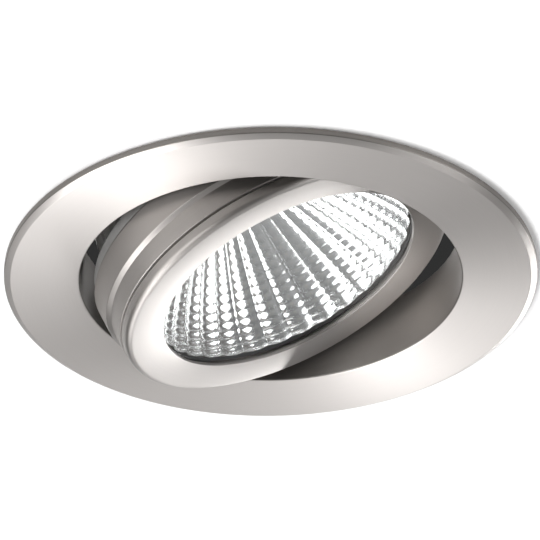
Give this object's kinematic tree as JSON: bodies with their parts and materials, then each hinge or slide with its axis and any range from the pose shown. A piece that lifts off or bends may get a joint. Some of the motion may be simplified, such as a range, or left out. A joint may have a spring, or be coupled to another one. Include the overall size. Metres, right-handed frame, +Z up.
{
  "type": "soffit downlight",
  "caption": "Round recessed downlight in satin nickel with a tilting head, clear lens, fluted reflector, finned heat sink and sprung clips that clamp the soffit board.",
  "frame": {"origin": "on the fitting's axis, in the plane of the soffit's lower face, where the foam gasket seats", "axes": "+Z up into the ceiling void; +Y along the head's tilt axis, towards the rear clip; the head's lower edge faces -X as shown"},
  "size_m": [0.082, 0.12, 0.0493],
  "materials": {
    "trim_nickel": "satin nickel plate, brushed in rings",
    "head_nickel": "satin nickel plate, turned",
    "bright_reflector": "bright anodised facets",
    "clear_lens": "clear, polished",
    "heat_sink_metal": "die cast, bead blasted",
    "zinc_steel": "bright zinc plate",
    "spring_steel": "drawn wire, bright",
    "screw_steel": "stainless, turned",
    "black_rubber": "matt moulded rubber",
    "grey_foam": "closed-cell foam",
    "clear_silicone": "soft silicone sleeve",
    "nylon": "natural nylon",
    "white_moulding": "matt moulded, heat resistant",
    "board_metal": "white solder mask on aluminium",
    "phosphor": "soft yellow resin",
    "thermal_grey": "soft filled silicone"
  },
  "bodies": {
    "trim": {"trim_ring": "trim_nickel", "ceiling_gasket": "grey_foam", "bracket_rivets": "zinc_steel", "clip_bracket_front": "zinc_steel", "clip_bracket_rear": "zinc_steel", "clip_pin_front": "zinc_steel", "clip_pin_rear": "zinc_steel", "clip_spring_front": "spring_steel", "clip_spring_rear": "spring_steel"},
    "head": {"front_bezel": "head_nickel", "lens": "clear_lens", "lens_gasket": "black_rubber", "reflector": "bright_reflector", "head_housing": "head_nickel", "thermal_pad": "thermal_grey", "led_board": "board_metal", "led_chip": "phosphor", "led_holder": "white_moulding", "holder_screws": "screw_steel", "heat_sink": "heat_sink_metal", "sink_screws": "screw_steel", "cable_grommet": "black_rubber", "pivot_screw_front": "screw_steel", "pivot_screw_rear": "screw_steel", "pivot_washer_front": "nylon", "pivot_washer_rear": "nylon", "pivot_spring_washer_front": "zinc_steel", "pivot_spring_washer_rear": "zinc_steel"},
    "front_wing": {"clip_wing_front": "zinc_steel", "clip_pad_front": "clear_silicone"},
    "rear_wing": {"clip_wing_rear": "zinc_steel", "clip_pad_rear": "clear_silicone"}
  },
  "joints": [
    {"name": "head_tilt", "type": "hinge", "parent": "trim", "child": "head", "pos_m": [0, 0, 0.00433], "axis": [0, -1, 0], "range_deg": [-54.5, 5.5]},
    {"name": "front_wing_fold", "type": "hinge", "parent": "trim", "child": "front_wing", "pos_m": [0, -0.03205, 0.0166], "axis": [-1, 0, 0], "range_deg": [0, 110], "stiffness_Nm_per_rad": 0.1, "springref_deg": -40.11, "deforming": ["clip_spring_front"]},
    {"name": "rear_wing_fold", "type": "hinge", "parent": "trim", "child": "rear_wing", "pos_m": [0, 0.03205, 0.0166], "axis": [1, 0, 0], "range_deg": [0, 110], "stiffness_Nm_per_rad": 0.1, "springref_deg": -40.11, "deforming": ["clip_spring_rear"]}
  ]
}
